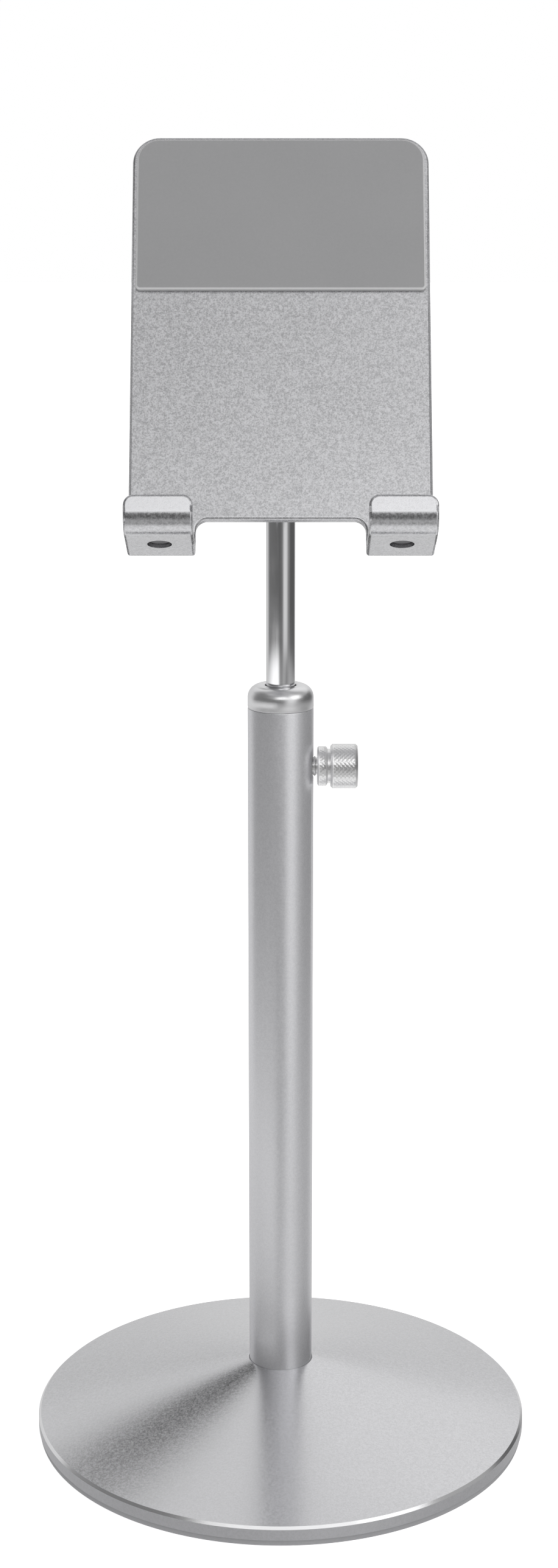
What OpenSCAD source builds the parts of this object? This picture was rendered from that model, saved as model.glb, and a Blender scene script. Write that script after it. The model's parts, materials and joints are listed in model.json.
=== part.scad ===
// Height-adjustable tablet stand: weighted conical base, telescopic column with a
// thumbscrew clamp, friction hinge and a bent-sheet holder with two hooks.
// Millimetres. Origin: centre of the underside. +Z up, the holder faces -Y.

/* [Base] */
// Diameter of the base
base_d = 125; // [110:1:150]
// Height of the base's straight rim, with the foot pad
rim_h = 5; // [4.5:0.1:7]
// Height of the column's seat above the floor
seat_z = 18; // [15:0.5:24]
// Wall of the base shell
shell_wall = 2.4; // [1.8:0.1:3]
// Thickness of the silicone foot pad
foot_pad_t = 1.6; // [1:0.1:2]
// Bright-cut chamfer round the rim
rim_chamfer = 0.6; // [0.3:0.1:1]

/* [Column] */
// Outer diameter of the column tube
column_d = 16; // [15:0.5:22]
// Wall of the column tube
column_wall = 1.2; // [1:0.1:1.5]
// Straight band of the collar, above the tube
collar_band_h = 2.6; // [1.5:0.1:4]
// Radius of the collar's rounded shoulder
collar_shoulder_r = 3; // [1.5:0.1:3.5]
// Length of the guide bush under the collar
guide_len = 24; // [18:1:30]

/* [Rod] */
// Diameter of the telescopic rod
rod_d = 7; // [5.8:0.1:8.4]
// How far the rod rises above the pose it is stored in
travel_up = 28; // [10:1:60]
// How far the rod sinks below the pose it is stored in
travel_down = 86; // [60:1:120]
// Free length left in the tube under the rod at its lowest
foot_spare = 5.8; // [3:0.1:30]
// Length of the stop bush on the rod's lower end
stop_len = 10; // [8:1:12]

/* [Thumbscrew] */
// Height of the thumbscrew's axis below the top of the tube
clamp_drop = 14.7; // [13:0.1:18]
// Thread diameter of the thumbscrew
clamp_thread_d = 5; // [4:0.5:5]
// Diameter of the knurled head
clamp_head_d = 10.9; // [9:0.1:14]
// Length of the knurled head
clamp_head_len = 6.6; // [5:0.1:10]
// Gap between the tightened thumbscrew's flange and the tube
clamp_gap = 0.9; // [0.5:0.1:2]

/* [Hinge] */
// Distance from the hinge axis to the back of the holder plate
hinge_offset = 16; // [13:0.5:20]
// Diameter of the hinge bolt
bolt_d = 5; // [4:0.1:6]
// Radius of the hinge barrel and of the bracket's ears
barrel_r = 6; // [5.5:0.1:7]
// Wall of the hinge head beside the rod
barrel_wall = 1.1; // [1:0.1:2.5]
// Thickness of each bracket ear
ear_t = 3; // [2:0.1:4]

/* [Holder] */
// How far the holder leans back from the vertical, in degrees
lean = 26; // [10:1:45]
// Width of the holder plate
plate_w = 67; // [62:0.5:90]
// Height of the holder plate above the gap between its hooks
plate_h = 90.8; // [86:0.1:120]
// Thickness of the sheet
sheet_t = 2.5; // [2:0.1:3]
// Corner radius at the top of the plate
corner_r = 6.2; // [4:0.5:12]
// Height of the hinge axis above the plate's bottom edge, along the plate
hinge_up = 66.3; // [62:0.1:70]
// Width of each hook
hook_w = 14.8; // [12:0.1:18]
// Depth of each hook, from the front of the plate to the front of its lip
hook_depth = 20; // [16:0.5:24]
// Drop from the plate's bottom edge to the hook's underside
hook_drop = 8.6; // [8.2:0.1:12]
// Drop from the plate's bottom edge to the top of the hook's lip
lip_drop = 0.9; // [0.5:0.1:2]
// Diameter of the hole in each hook's shelf
hook_hole_d = 5.3; // [4:0.1:6]

/* [Pads] */
// Thickness of the silicone pad on the plate
pad_t = 1.2; // [0.8:0.1:2]
// Margin between the pad and the plate's edge
pad_margin = 1; // [0.5:0.1:3]
// Height of the pad's lower edge above the plate's bottom edge
pad_up = 53.5; // [50:0.5:54]
// Thickness of the silicone liners in the hooks
liner_t = 1.2; // [0.8:0.1:1.5]

/* [Hidden] */
$fn = 96;

alu = "silver";
alu_dark = "darkgray";
steel = "gainsboro";
iron = "dimgray";
silicone = "gray";
nylon = "whitesmoke";
brass = "goldenrod";

glue_gap = 0.03;    // pieces that are bonded or pressed together
run_gap = 0.05;     // radial clearance of pieces that turn or slide in each other
loose_gap = 0.3;    // clearance holes and free spaces
over = 1;           // how far a cutter runs past the face it cuts

// Base
base_r = base_d / 2;
rim_r = base_r - rim_chamfer;
seat_depth = 1.5;
foot_pad_inset = 0.3;
screw_d = 6;
screw_head_d = 10.5;
screw_head_h = 3.2;
washer_d = 17;
washer_t = 1.2;
hub_r = 11.5;
rim_wall = 5;
weight_bottom_z = foot_pad_t + loose_gap;
washer_top_z = weight_bottom_z + screw_head_h + washer_t;
weight_web = 4;
hub_bottom_z = washer_top_z + weight_web + loose_gap;
cone_slope = (seat_z - rim_h) / (rim_r - column_d / 2);
cavity_r = base_r - rim_wall;

// Column
column_r = column_d / 2;
bore_r = column_r - column_wall;
tube_bottom_z = seat_z - seat_depth;
plug_len = 11;
plug_top_z = tube_bottom_z + plug_len;
collar_spigot = 6;

// Rod and its lower end: the tube is as long as the rod's travel needs
rod_r = rod_d / 2;
journal_r = rod_r - 1;
end_screw_d = 3;
end_screw_len = 8;
end_head_d = rod_d + 1;
end_head_h = 1.8;
stop_bottom_z = plug_top_z + foot_spare + travel_down + end_head_h + run_gap;
stop_top_z = stop_bottom_z + stop_len;
guide_bottom_z = stop_top_z + travel_up + loose_gap;
guide_top_z = guide_bottom_z + guide_len;
column_top_z = guide_top_z + collar_spigot;
collar_top_z = column_top_z + collar_band_h + collar_shoulder_r;

// Rod's upper end: at its lowest the hinge head stops just above the collar
lowest_gap = 0.4;
head_drop = barrel_r + 5.5;
head_seat_z = collar_top_z + lowest_gap + travel_down;
hinge_z = head_seat_z + head_drop;
rod_top_z = hinge_z - bolt_d / 2 - 1.5;

// Thumbscrew, along +X
clamp_z = column_top_z - clamp_drop;
clamp_r = clamp_thread_d / 2;
clamp_nut_d = 8.4;
clamp_nut_x = rod_r + 0.7;
clamp_pad_r = clamp_r - 0.3;
clamp_tip_x = rod_r + 1;
flange_x = column_r + clamp_gap;
flange_d = clamp_head_d - 1.2;
flange_len = 2.4;
groove_d = clamp_head_d - 2.5;
groove_len = 0.8;
head_x = flange_x + flange_len + groove_len;
head_chamfer = 0.5;

// Hinge
barrel_w = rod_d + 2 * barrel_wall;
friction_t = 0.5;
ear_in = barrel_w / 2 + friction_t + 2 * run_gap;
ear_out = ear_in + ear_t;
bracket_w = 2 * ear_out + 12;
bracket_h = 22;
bracket_t = 2.5;
bracket_corner_r = 2.5;
bracket_screw_x = ear_out + 2.9;
bracket_screw_v = 6.5;
bracket_screw_d = 3;
bracket_head_d = 5.4;
bracket_head_h = 1.4;
bolt_head_d = bolt_d + 4.5;
bolt_head_h = 2.8;
nut_d = bolt_d + 4.2;
nut_h = 4;
neck_r = rod_r + 1.9;

// Holder, in its own frame: origin on the hinge axis, plate upright
plate_front_y = -hinge_offset - sheet_t;
plate_bottom = -hinge_up;
plate_top = plate_h - hinge_up;
hook_bottom = plate_bottom - hook_drop;
lip_top = plate_bottom - lip_drop;
lip_front_y = plate_front_y - hook_depth;
rear_bend_r = sheet_t + 1.5;
front_bend_r = sheet_t + 2.1;
lip_corner_r = 2.2;
root_fillet_r = 2.6;
hook_hole_y = plate_front_y - 0.46 * hook_depth;
liner_side_gap = 0.8;
liner_top_gap = 0.8;
liner_nub_d = hook_hole_d - 2 * run_gap;
pad_corner_r = corner_r - pad_margin;
pad_foot_r = 1;

// ---------- shared shapes ----------

// A square with its two upper corners rounded, from (-w/2, low) to (w/2, high)
module arched_square(w, low, high, r) {
    translate([-w / 2, low]) square([w, high - low - r]);
    translate([-w / 2 + r, high - r]) square([w - 2 * r, r]);
    for (s = [-1, 1]) translate([s * (w / 2 - r), high - r]) circle(r);
}

// A square with all four corners rounded
module soft_square(w, h, r) {
    translate([-w / 2 + r, -h / 2]) square([w - 2 * r, h]);
    translate([-w / 2, -h / 2 + r]) square([w, h - 2 * r]);
    for (x = [-1, 1], y = [-1, 1]) translate([x * (w / 2 - r), y * (h / 2 - r)]) circle(r);
}

// A square whose two lower corners have their own radii, from (0, low) to (w, high)
module cradle(w, low, high, r_left, r_right) {
    translate([0, low + r_left]) square([r_left, high - low - r_left]);
    translate([r_left, low]) square([w - r_left - r_right, high - low]);
    translate([w - r_right, low + r_right]) square([r_right, high - low - r_right]);
    translate([r_left, low + r_left]) circle(r_left);
    translate([w - r_right, low + r_right]) circle(r_right);
}

// A bar along +X, centred on z, from x1 to x2
module x_bar(x1, x2, r, z = 0) {
    translate([x1, 0, z]) rotate([0, 90, 0]) cylinder(r = r, h = x2 - x1);
}

// A shape drawn in Y and Z, extruded along X from x1 to x2
module along_x(x1, x2) {
    translate([x1, 0, 0]) rotate([90, 0, 90]) linear_extrude(x2 - x1) children();
}

// A shape drawn in X and Z, extruded along Y from y1 to y2
module along_y(y1, y2) {
    translate([0, y2, 0]) rotate([90, 0, 0]) linear_extrude(y2 - y1) children();
}

// Puts what is drawn in the holder's own frame at its place and lean
module in_holder() {
    translate([0, 0, hinge_z]) rotate([-lean, 0, 0]) children();
}

module hex_socket(across, depth) {
    cylinder(d = across / cos(30), h = depth, $fn = 6);
}

// ---------- base ----------

function cone_z(r) = rim_h + (rim_r - r) * cone_slope;

module base_shell() {
    color(alu) difference() {
        rotate_extrude() polygon([
            [0, foot_pad_t], [base_r, foot_pad_t], [base_r, rim_h - rim_chamfer],
            [rim_r, rim_h], [column_r, seat_z], [0, seat_z]]);
        rotate_extrude() polygon([
            [hub_r, foot_pad_t - over], [cavity_r, foot_pad_t - over],
            [cavity_r, cone_z(cavity_r) - shell_wall],
            [hub_r, cone_z(hub_r) - shell_wall]]);
        translate([0, 0, foot_pad_t - over]) cylinder(r = hub_r + over, h = hub_bottom_z - foot_pad_t + over);
        translate([0, 0, tube_bottom_z]) cylinder(r = column_r + glue_gap, h = seat_depth + over);
        cylinder(d = screw_d + 2 * loose_gap, h = seat_z);
    }
}

module base_weight() {
    weight_r = cavity_r - loose_gap;
    top_gap = shell_wall + loose_gap;
    hub_hole_r = hub_r + loose_gap;
    color(iron) difference() {
        rotate_extrude() polygon([
            [0, weight_bottom_z], [weight_r, weight_bottom_z], [weight_r, cone_z(weight_r) - top_gap],
            [hub_hole_r, cone_z(hub_hole_r) - top_gap], [hub_hole_r, hub_bottom_z - loose_gap],
            [0, hub_bottom_z - loose_gap]]);
        translate([0, 0, weight_bottom_z - over])
            cylinder(d = washer_d + 2 * loose_gap, h = washer_top_z - weight_bottom_z + over);
        cylinder(d = screw_d + 2 * loose_gap, h = seat_z);
    }
}

module foot_pad() {
    color(silicone) cylinder(r = base_r - foot_pad_inset, h = foot_pad_t - glue_gap);
}

module base_screw() {
    head_top_z = weight_bottom_z + screw_head_h;
    color(steel) difference() {
        union() {
            translate([0, 0, weight_bottom_z]) cylinder(d = screw_head_d, h = screw_head_h);
            translate([0, 0, head_top_z]) cylinder(d = screw_d, h = plug_top_z - over - head_top_z);
        }
        translate([0, 0, weight_bottom_z - over]) hex_socket(4, 2 + over);
    }
}

module base_washer() {
    color(steel) difference() {
        translate([0, 0, washer_top_z - washer_t + glue_gap]) cylinder(d = washer_d, h = washer_t - 2 * glue_gap);
        cylinder(d = screw_d + 2 * loose_gap, h = seat_z);
    }
}

// ---------- column ----------

module column_tube() {
    color(alu) difference() {
        translate([0, 0, tube_bottom_z]) cylinder(r = column_r, h = column_top_z - tube_bottom_z);
        translate([0, 0, tube_bottom_z - over]) cylinder(r = bore_r, h = column_top_z);
        x_bar(0, column_r + over, clamp_r + loose_gap, clamp_z);
    }
}

module column_plug() {
    color(alu_dark) difference() {
        translate([0, 0, tube_bottom_z]) cylinder(r = bore_r - glue_gap, h = plug_len);
        translate([0, 0, tube_bottom_z - over]) cylinder(r = screw_d / 2 + run_gap, h = plug_len + 2 * over);
    }
}

module column_collar() {
    band_top = column_top_z + collar_band_h;
    inner_r = column_r - collar_shoulder_r;
    color(alu) difference() {
        union() {
            translate([0, 0, guide_top_z]) cylinder(r = bore_r - glue_gap, h = collar_spigot + over);
            translate([0, 0, column_top_z]) cylinder(r = column_r, h = collar_band_h);
            rotate_extrude() {
                translate([0, band_top]) square([inner_r, collar_shoulder_r]);
                intersection() {
                    translate([inner_r, band_top]) circle(collar_shoulder_r);
                    translate([inner_r, band_top]) square(collar_shoulder_r);
                }
            }
        }
        translate([0, 0, guide_top_z - over])
            cylinder(r = rod_r + loose_gap, h = collar_top_z - guide_top_z + 2 * over);
    }
}

module guide_bush() {
    color(nylon) difference() {
        translate([0, 0, guide_bottom_z]) cylinder(r = bore_r - glue_gap, h = guide_len - glue_gap);
        translate([0, 0, guide_bottom_z - over]) cylinder(r = rod_r + run_gap, h = guide_len + 2 * over);
        x_bar(0, clamp_nut_x + over, clamp_pad_r + run_gap, clamp_z);
        x_bar(clamp_nut_x - glue_gap, column_r, clamp_nut_d / 2 + glue_gap, clamp_z);
    }
}

// The nut's outer end follows the bore of the tube
module clamp_nut() {
    color(brass) difference() {
        intersection() {
            x_bar(clamp_nut_x, column_r, clamp_nut_d / 2, clamp_z);
            cylinder(r = bore_r - glue_gap, h = column_top_z);
        }
        x_bar(0, column_r, clamp_r + run_gap, clamp_z);
    }
}

// The pad's flat end bears on the rod
module clamp_pad() {
    color(nylon) x_bar(rod_r + run_gap, clamp_tip_x, clamp_pad_r, clamp_z);
}

module thumb_screw() {
    head_end = head_x + clamp_head_len;
    color(steel) translate([0, 0, clamp_z]) rotate([0, 90, 0]) rotate_extrude() polygon([
        [0, clamp_tip_x + glue_gap], [clamp_r - head_chamfer, clamp_tip_x + glue_gap],
        [clamp_r, clamp_tip_x + glue_gap + head_chamfer], [clamp_r, flange_x],
        [flange_d / 2 - head_chamfer, flange_x], [flange_d / 2, flange_x + head_chamfer],
        [flange_d / 2, flange_x + flange_len - head_chamfer],
        [groove_d / 2, flange_x + flange_len], [groove_d / 2, head_x],
        [clamp_head_d / 2 - head_chamfer, head_x], [clamp_head_d / 2, head_x + head_chamfer],
        [clamp_head_d / 2, head_end - head_chamfer], [clamp_head_d / 2 - head_chamfer, head_end],
        [0, head_end]]);
}

// ---------- rod ----------

module stop_bush() {
    color(nylon) difference() {
        translate([0, 0, stop_bottom_z]) cylinder(r = bore_r - 2 * run_gap, h = stop_len);
        translate([0, 0, stop_bottom_z - over]) cylinder(r = journal_r + run_gap, h = stop_len + 2 * over);
    }
}

module telescopic_rod() {
    shoulder_z = stop_top_z + run_gap;
    color(steel) difference() {
        union() {
            translate([0, 0, shoulder_z]) cylinder(r = rod_r, h = rod_top_z - shoulder_z);
            translate([0, 0, stop_bottom_z]) cylinder(r = journal_r, h = shoulder_z - stop_bottom_z + over);
        }
        translate([0, 0, stop_bottom_z - over])
            cylinder(r = end_screw_d / 2 + glue_gap, h = end_screw_len + 2 * over);
    }
}

module rod_end_screw() {
    head_top_z = stop_bottom_z - run_gap;
    color(steel) difference() {
        union() {
            translate([0, 0, head_top_z - end_head_h]) cylinder(d = end_head_d, h = end_head_h);
            translate([0, 0, head_top_z]) cylinder(d = end_screw_d, h = end_screw_len);
        }
        translate([0, 0, head_top_z - end_head_h - over]) hex_socket(2, 1.2 + over);
    }
}

// ---------- hinge ----------

module hinge_head() {
    color(alu_dark) difference() {
        union() {
            x_bar(-barrel_w / 2, barrel_w / 2, barrel_r, hinge_z);
            intersection() {
                translate([0, 0, head_seat_z]) cylinder(r = neck_r, h = hinge_z - head_seat_z);
                translate([-barrel_w / 2, -neck_r, head_seat_z]) cube([barrel_w, 2 * neck_r, hinge_z - head_seat_z]);
            }
        }
        x_bar(-barrel_w, barrel_w, bolt_d / 2 + run_gap, hinge_z);
        translate([0, 0, head_seat_z - over]) cylinder(r = rod_r + glue_gap, h = rod_top_z + glue_gap - head_seat_z + over);
    }
}

module ear_outline() {
    circle(barrel_r);
    translate([-hinge_offset + bracket_t - over, -barrel_r]) square([hinge_offset - bracket_t + over, 2 * barrel_r]);
}

module hinge_bracket() {
    color(alu_dark) in_holder() difference() {
        union() {
            along_x(ear_in, ear_out) ear_outline();
            along_x(-ear_out, -ear_in) ear_outline();
            along_y(-hinge_offset + glue_gap, -hinge_offset + bracket_t)
                soft_square(bracket_w, bracket_h, bracket_corner_r);
        }
        x_bar(-ear_out - over, ear_out + over, bolt_d / 2 + glue_gap);
        for (x = [-1, 1], v = [-1, 1]) translate([x * bracket_screw_x, 0, v * bracket_screw_v])
            along_y(-hinge_offset - over, 0) circle(d = bracket_screw_d + 2 * glue_gap);
    }
}

module hinge_bolt() {
    color(steel) in_holder() difference() {
        union() {
            x_bar(-ear_out - nut_h, ear_out + over, bolt_d / 2);
            x_bar(ear_out + glue_gap, ear_out + bolt_head_h, bolt_head_d / 2);
        }
        translate([ear_out + bolt_head_h + over, 0, 0]) rotate([0, -90, 0]) hex_socket(3, 1.8 + over);
    }
}

module hinge_nut() {
    color(steel) in_holder() difference() {
        translate([-ear_out - glue_gap - nut_h, 0, 0]) rotate([0, 90, 0]) cylinder(d = nut_d, h = nut_h, $fn = 6);
        x_bar(-ear_out - 2 * nut_h, 0, bolt_d / 2 + glue_gap);
    }
}

module friction_washers() {
    washer_in = barrel_w / 2 + run_gap;
    color(nylon) in_holder() for (s = [-1, 1]) difference() {
        x_bar(s * (washer_in + friction_t / 2) - friction_t / 2,
              s * (washer_in + friction_t / 2) + friction_t / 2, barrel_r - 0.4);
        x_bar(-ear_out, ear_out, bolt_d / 2 + run_gap);
    }
}

// Four countersunk screws, with their heads flush in the front of the plate
module bracket_screws() {
    color(steel) in_holder() for (x = [-1, 1], v = [-1, 1])
        translate([x * bracket_screw_x, plate_front_y, v * bracket_screw_v]) rotate([-90, 0, 0]) difference() {
            union() {
                cylinder(d1 = bracket_head_d, d2 = bracket_screw_d, h = bracket_head_h);
                cylinder(d = bracket_screw_d, h = sheet_t + bracket_t);
            }
            translate([0, 0, -over]) hex_socket(1.8, 0.9 + over);
        }
}

// ---------- holder ----------

// The sheet's face, with the two tabs that become the hooks
module plate_face() {
    tab_x = plate_w / 2 - hook_w;
    tab_low = hook_bottom + rear_bend_r;
    arched_square(plate_w, plate_bottom, plate_top, corner_r);
    for (s = [0, 1]) mirror([s, 0]) {
        translate([tab_x, tab_low]) square([hook_w, plate_bottom - tab_low + over]);
        difference() {
            translate([tab_x - root_fillet_r, plate_bottom - root_fillet_r])
                square([root_fillet_r + over, root_fillet_r + over]);
            translate([tab_x - root_fillet_r, plate_bottom - root_fillet_r]) circle(root_fillet_r);
        }
    }
}

// The hook's section, with the front to the left: the lip, the shelf and the rear bend
module hook_section() {
    inner_w = hook_depth - sheet_t;
    difference() {
        translate([lip_front_y, 0])
            cradle(hook_depth + sheet_t, hook_bottom, plate_bottom, front_bend_r, rear_bend_r);
        translate([lip_front_y + sheet_t, 0])
            cradle(inner_w, hook_bottom + sheet_t, plate_bottom + over,
                   front_bend_r - sheet_t, rear_bend_r - sheet_t);
        translate([lip_front_y - over, lip_top]) square([inner_w + over, lip_drop + over]);
    }
}

module hook(side) {
    x_mid = side * (plate_w - hook_w) / 2;
    difference() {
        intersection() {
            along_x(x_mid - hook_w / 2, x_mid + hook_w / 2) hook_section();
            union() {
                translate([x_mid, 0, 0]) along_y(lip_front_y - over, lip_front_y + hook_depth / 2)
                    arched_square(hook_w, hook_bottom - over, lip_top, lip_corner_r);
                translate([x_mid - hook_w, lip_front_y + sheet_t + 1, hook_bottom - over])
                    cube([2 * hook_w, hook_depth + sheet_t, hook_drop + 2 * over]);
            }
        }
        translate([x_mid, hook_hole_y, hook_bottom - over]) cylinder(d = hook_hole_d, h = sheet_t + 2 * over);
    }
}

module holder_plate() {
    color(alu) in_holder() difference() {
        union() {
            along_y(plate_front_y, -hinge_offset) plate_face();
            hook(-1);
            hook(1);
        }
        for (x = [-1, 1], v = [-1, 1])
            translate([x * bracket_screw_x, plate_front_y, v * bracket_screw_v]) rotate([-90, 0, 0]) {
                cylinder(d1 = bracket_head_d + 2 * glue_gap, d2 = bracket_screw_d + 2 * glue_gap, h = bracket_head_h);
                translate([0, 0, -over]) cylinder(d = bracket_screw_d + 2 * glue_gap, h = sheet_t + 2 * over);
            }
    }
}

module back_pad() {
    color(silicone) in_holder() along_y(plate_front_y - pad_t, plate_front_y - glue_gap) difference() {
        arched_square(plate_w - 2 * pad_margin, plate_bottom + pad_up, plate_top - pad_margin, pad_corner_r);
        for (s = [0, 1]) mirror([s, 0]) difference() {
            translate([plate_w / 2 - pad_margin - pad_foot_r, plate_bottom + pad_up - over])
                square([pad_foot_r + over, pad_foot_r + over]);
            translate([plate_w / 2 - pad_margin - pad_foot_r, plate_bottom + pad_up + pad_foot_r]) circle(pad_foot_r);
        }
    }
}

// The liner covers the shelf and the inside of the lip, and its nub fills the shelf's hole
module hook_liner(side) {
    x_mid = side * (plate_w - hook_w) / 2;
    half_w = hook_w / 2 - liner_side_gap;
    shelf = hook_bottom + sheet_t + glue_gap;
    lip_y = lip_front_y + sheet_t + glue_gap;
    depth = hook_depth - rear_bend_r;
    bend_r = front_bend_r - sheet_t - glue_gap;
    nub_t = sheet_t - 0.8;
    color(silicone) in_holder() {
        along_x(x_mid - half_w, x_mid + half_w) difference() {
            translate([lip_y, 0]) cradle(depth, shelf, lip_top - liner_top_gap, bend_r, 0.4);
            translate([lip_y + liner_t, 0])
                cradle(depth, shelf + liner_t, plate_bottom, bend_r - liner_t, 0.4);
        }
        translate([x_mid, hook_hole_y, shelf - nub_t]) cylinder(d = liner_nub_d, h = nub_t + liner_t / 2);
    }
}

module hook_liner_left() hook_liner(-1);
module hook_liner_right() hook_liner(1);

base_shell();
base_weight();
foot_pad();
base_screw();
base_washer();
column_tube();
column_plug();
column_collar();
guide_bush();
clamp_nut();
clamp_pad();
thumb_screw();
stop_bush();
telescopic_rod();
rod_end_screw();
hinge_head();
hinge_bracket();
hinge_bolt();
hinge_nut();
friction_washers();
bracket_screws();
holder_plate();
back_pad();
hook_liner_left();
hook_liner_right();
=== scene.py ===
import json
import math

import bmesh
import bpy
from mathutils import Matrix, Vector


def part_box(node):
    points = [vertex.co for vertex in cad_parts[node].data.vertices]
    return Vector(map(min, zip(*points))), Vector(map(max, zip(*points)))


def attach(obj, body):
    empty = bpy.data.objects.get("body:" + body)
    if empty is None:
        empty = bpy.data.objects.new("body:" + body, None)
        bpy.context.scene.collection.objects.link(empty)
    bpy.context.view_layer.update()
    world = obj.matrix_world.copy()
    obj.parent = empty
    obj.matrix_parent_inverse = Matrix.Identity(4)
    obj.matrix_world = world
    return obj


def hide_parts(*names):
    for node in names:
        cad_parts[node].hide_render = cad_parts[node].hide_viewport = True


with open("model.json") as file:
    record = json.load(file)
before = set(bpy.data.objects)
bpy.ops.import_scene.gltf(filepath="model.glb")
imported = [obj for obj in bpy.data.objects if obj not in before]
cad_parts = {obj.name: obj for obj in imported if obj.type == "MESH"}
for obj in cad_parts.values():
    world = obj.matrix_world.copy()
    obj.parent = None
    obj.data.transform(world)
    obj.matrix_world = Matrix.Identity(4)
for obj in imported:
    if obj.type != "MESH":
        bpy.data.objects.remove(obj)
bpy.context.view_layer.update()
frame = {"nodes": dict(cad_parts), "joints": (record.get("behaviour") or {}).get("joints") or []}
mm = 0.001
tiny = 1e-7     # two points nearer than this, in metres, are one
turn = 2 * math.pi
alongX = Matrix.Rotation(turn / 4, 4, "Y")
alongY = Matrix.Rotation(turn / 4, 4, "X")
joints = {j["name"]: j for j in frame["joints"]}
hinge = Vector(joints["tilt"]["pos_m"])
leanBack = math.radians(26)
toHolder = Matrix.Translation(hinge) @ Matrix.Rotation(-leanBack, 4, "X")
print("frame loaded:", len(frame["nodes"]), "CAD nodes")


class Sock:
    # a node socket that adds, multiplies and so on by making Math nodes
    def __init__(self, mat, socket):
        self.mat = mat
        self.socket = socket

    def math(self, operation, *values):
        return self.mat.node("ShaderNodeMath", {"operation": operation}, *values)[0]

    def __add__(self, other):
        return self.math("ADD", self, other)

    def __radd__(self, other):
        return self.math("ADD", other, self)

    def __sub__(self, other):
        return self.math("SUBTRACT", self, other)

    def __rsub__(self, other):
        return self.math("SUBTRACT", other, self)

    def __mul__(self, other):
        return self.math("MULTIPLY", self, other)

    def __rmul__(self, other):
        return self.math("MULTIPLY", other, self)

    def __truediv__(self, other):
        return self.math("DIVIDE", self, other)

    def clamp(self):
        return self.math("MINIMUM", self.math("MAXIMUM", self, 0), 1)

    def step(self, low, high):
        # 0 below low, 1 above high, smooth between
        return self.mat.node("ShaderNodeMapRange", {"interpolation_type": "SMOOTHSTEP"},
                             Value=self, **{"From Min": low, "From Max": high})[0]


class Graph:
    # a node tree that grows by one method
    def __init__(self, tree):
        self.tree = tree

    def node(self, kind, settings=None, *values, **named):
        made = self.tree.nodes.new(kind)
        for key, value in (settings or {}).items():
            if key == "stops":
                ramp = made.color_ramp
                while len(ramp.elements) < len(value):
                    ramp.elements.new(0.5)
                for element, (at, colour) in zip(ramp.elements, value):
                    element.position = at
                    element.color = colour
            else:
                setattr(made, key, value)
        live = [socket for socket in made.inputs if socket.enabled]
        for socket, value in zip(live, values):
            self.feed(socket, value)
        for name, value in named.items():
            self.feed(next(socket for socket in live if socket.name == name), value)
        return Outputs(self, made)

    def feed(self, socket, value):
        if isinstance(value, Sock):
            self.tree.links.new(value.socket, socket)
        else:
            socket.default_value = value

    def mix(self, factor, low, high):
        return self.node("ShaderNodeMix", {"data_type": "RGBA"}, Factor=factor, A=low, B=high)["Result"]


class Outputs:
    # a node's live outputs, by place or by name
    def __init__(self, mat, made):
        self.mat = mat
        self.live = [socket for socket in made.outputs if socket.enabled]

    def __getitem__(self, key):
        if isinstance(key, int):
            return Sock(self.mat, self.live[key])
        return Sock(self.mat, next(socket for socket in self.live if socket.name == key))


class Finish(Graph):
    # one material with a Principled surface
    def __init__(self, name, slot, preview):
        self.slot = slot
        self.material = bpy.data.materials.new(name)
        self.material.use_nodes = True
        self.material.diffuse_color = preview
        super().__init__(self.material.node_tree)
        self.shader = self.tree.nodes["Principled BSDF"]
        self.place = self.node("ShaderNodeTexCoord")["Object"]

    def noise(self, scale, detail=2.0, roughness=0.5, stretch=None):
        place = self.place
        if stretch:
            place = self.node("ShaderNodeMapping", None, Vector=place, Scale=stretch)[0]
        return self.node("ShaderNodeTexNoise", None, Vector=place, Scale=scale,
                         Detail=detail, Roughness=roughness)["Fac"]

    def tint(self, factor, dark, light):
        return self.mix(factor, (*dark, 1), (*light, 1))

    def bump(self, height, strength, depth):
        return self.node("ShaderNodeBump", None, Strength=strength, Distance=depth, Height=height)["Normal"]

    def surface(self, values):
        for name, value in values.items():
            self.feed(self.shader.inputs[name], value)


def blasted(name, slot, look):
    # bead-blasted and anodised aluminium: a sparkle of small facets over a faint cloud
    f = Finish(name, slot, (0.7, 0.7, 0.72, 1))
    fine = f.noise(look["grain"], 1.0, 0.5)
    coarse = f.noise(look["grain"] * 0.45, 1.0, 0.6)
    cloud = f.noise(look["cloud"], 2.0, 0.5)
    facets = fine * 0.6 + coarse * 0.4
    sparkle = facets.step(0.5 - look["sharp"], 0.5 + look["sharp"])
    base = 0.5 - look["contrast"] / 2
    level = (sparkle * look["contrast"] + base + (cloud - 0.5) * look["cloudy"]).clamp()
    f.surface({"Metallic": look["metal"],
               "Base Color": f.tint(level, look["dark"], look["light"]),
               "Roughness": (look["rough"] + (sparkle - 0.5) * look["roughSpread"]).clamp(),
               "Normal": f.bump(facets, look["bump"], look["bumpDepth"])})
    return f.material, f.slot


def polished(name, slot, look):
    # polished metal with faint lines from drawing or turning, fine along the axes that `lines` raises
    f = Finish(name, slot, (0.8, 0.8, 0.82, 1))
    lines = f.noise(look["lineScale"], 2.0, 0.6, stretch=look["lines"])
    smudge = f.noise(look["smudge"], 3.0, 0.55)
    worn = smudge.step(0.45, 0.75)
    f.surface({"Metallic": 1.0,
               "Base Color": f.tint((lines * 0.5 + smudge * 0.5).clamp(), look["dark"], look["light"]),
               "Roughness": (look["rough"] + lines * look["lineRough"] + worn * look["smudgeRough"]).clamp(),
               "Normal": f.bump(lines, look["bump"], 0.02 * mm)})
    return f.material, f.slot


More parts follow.
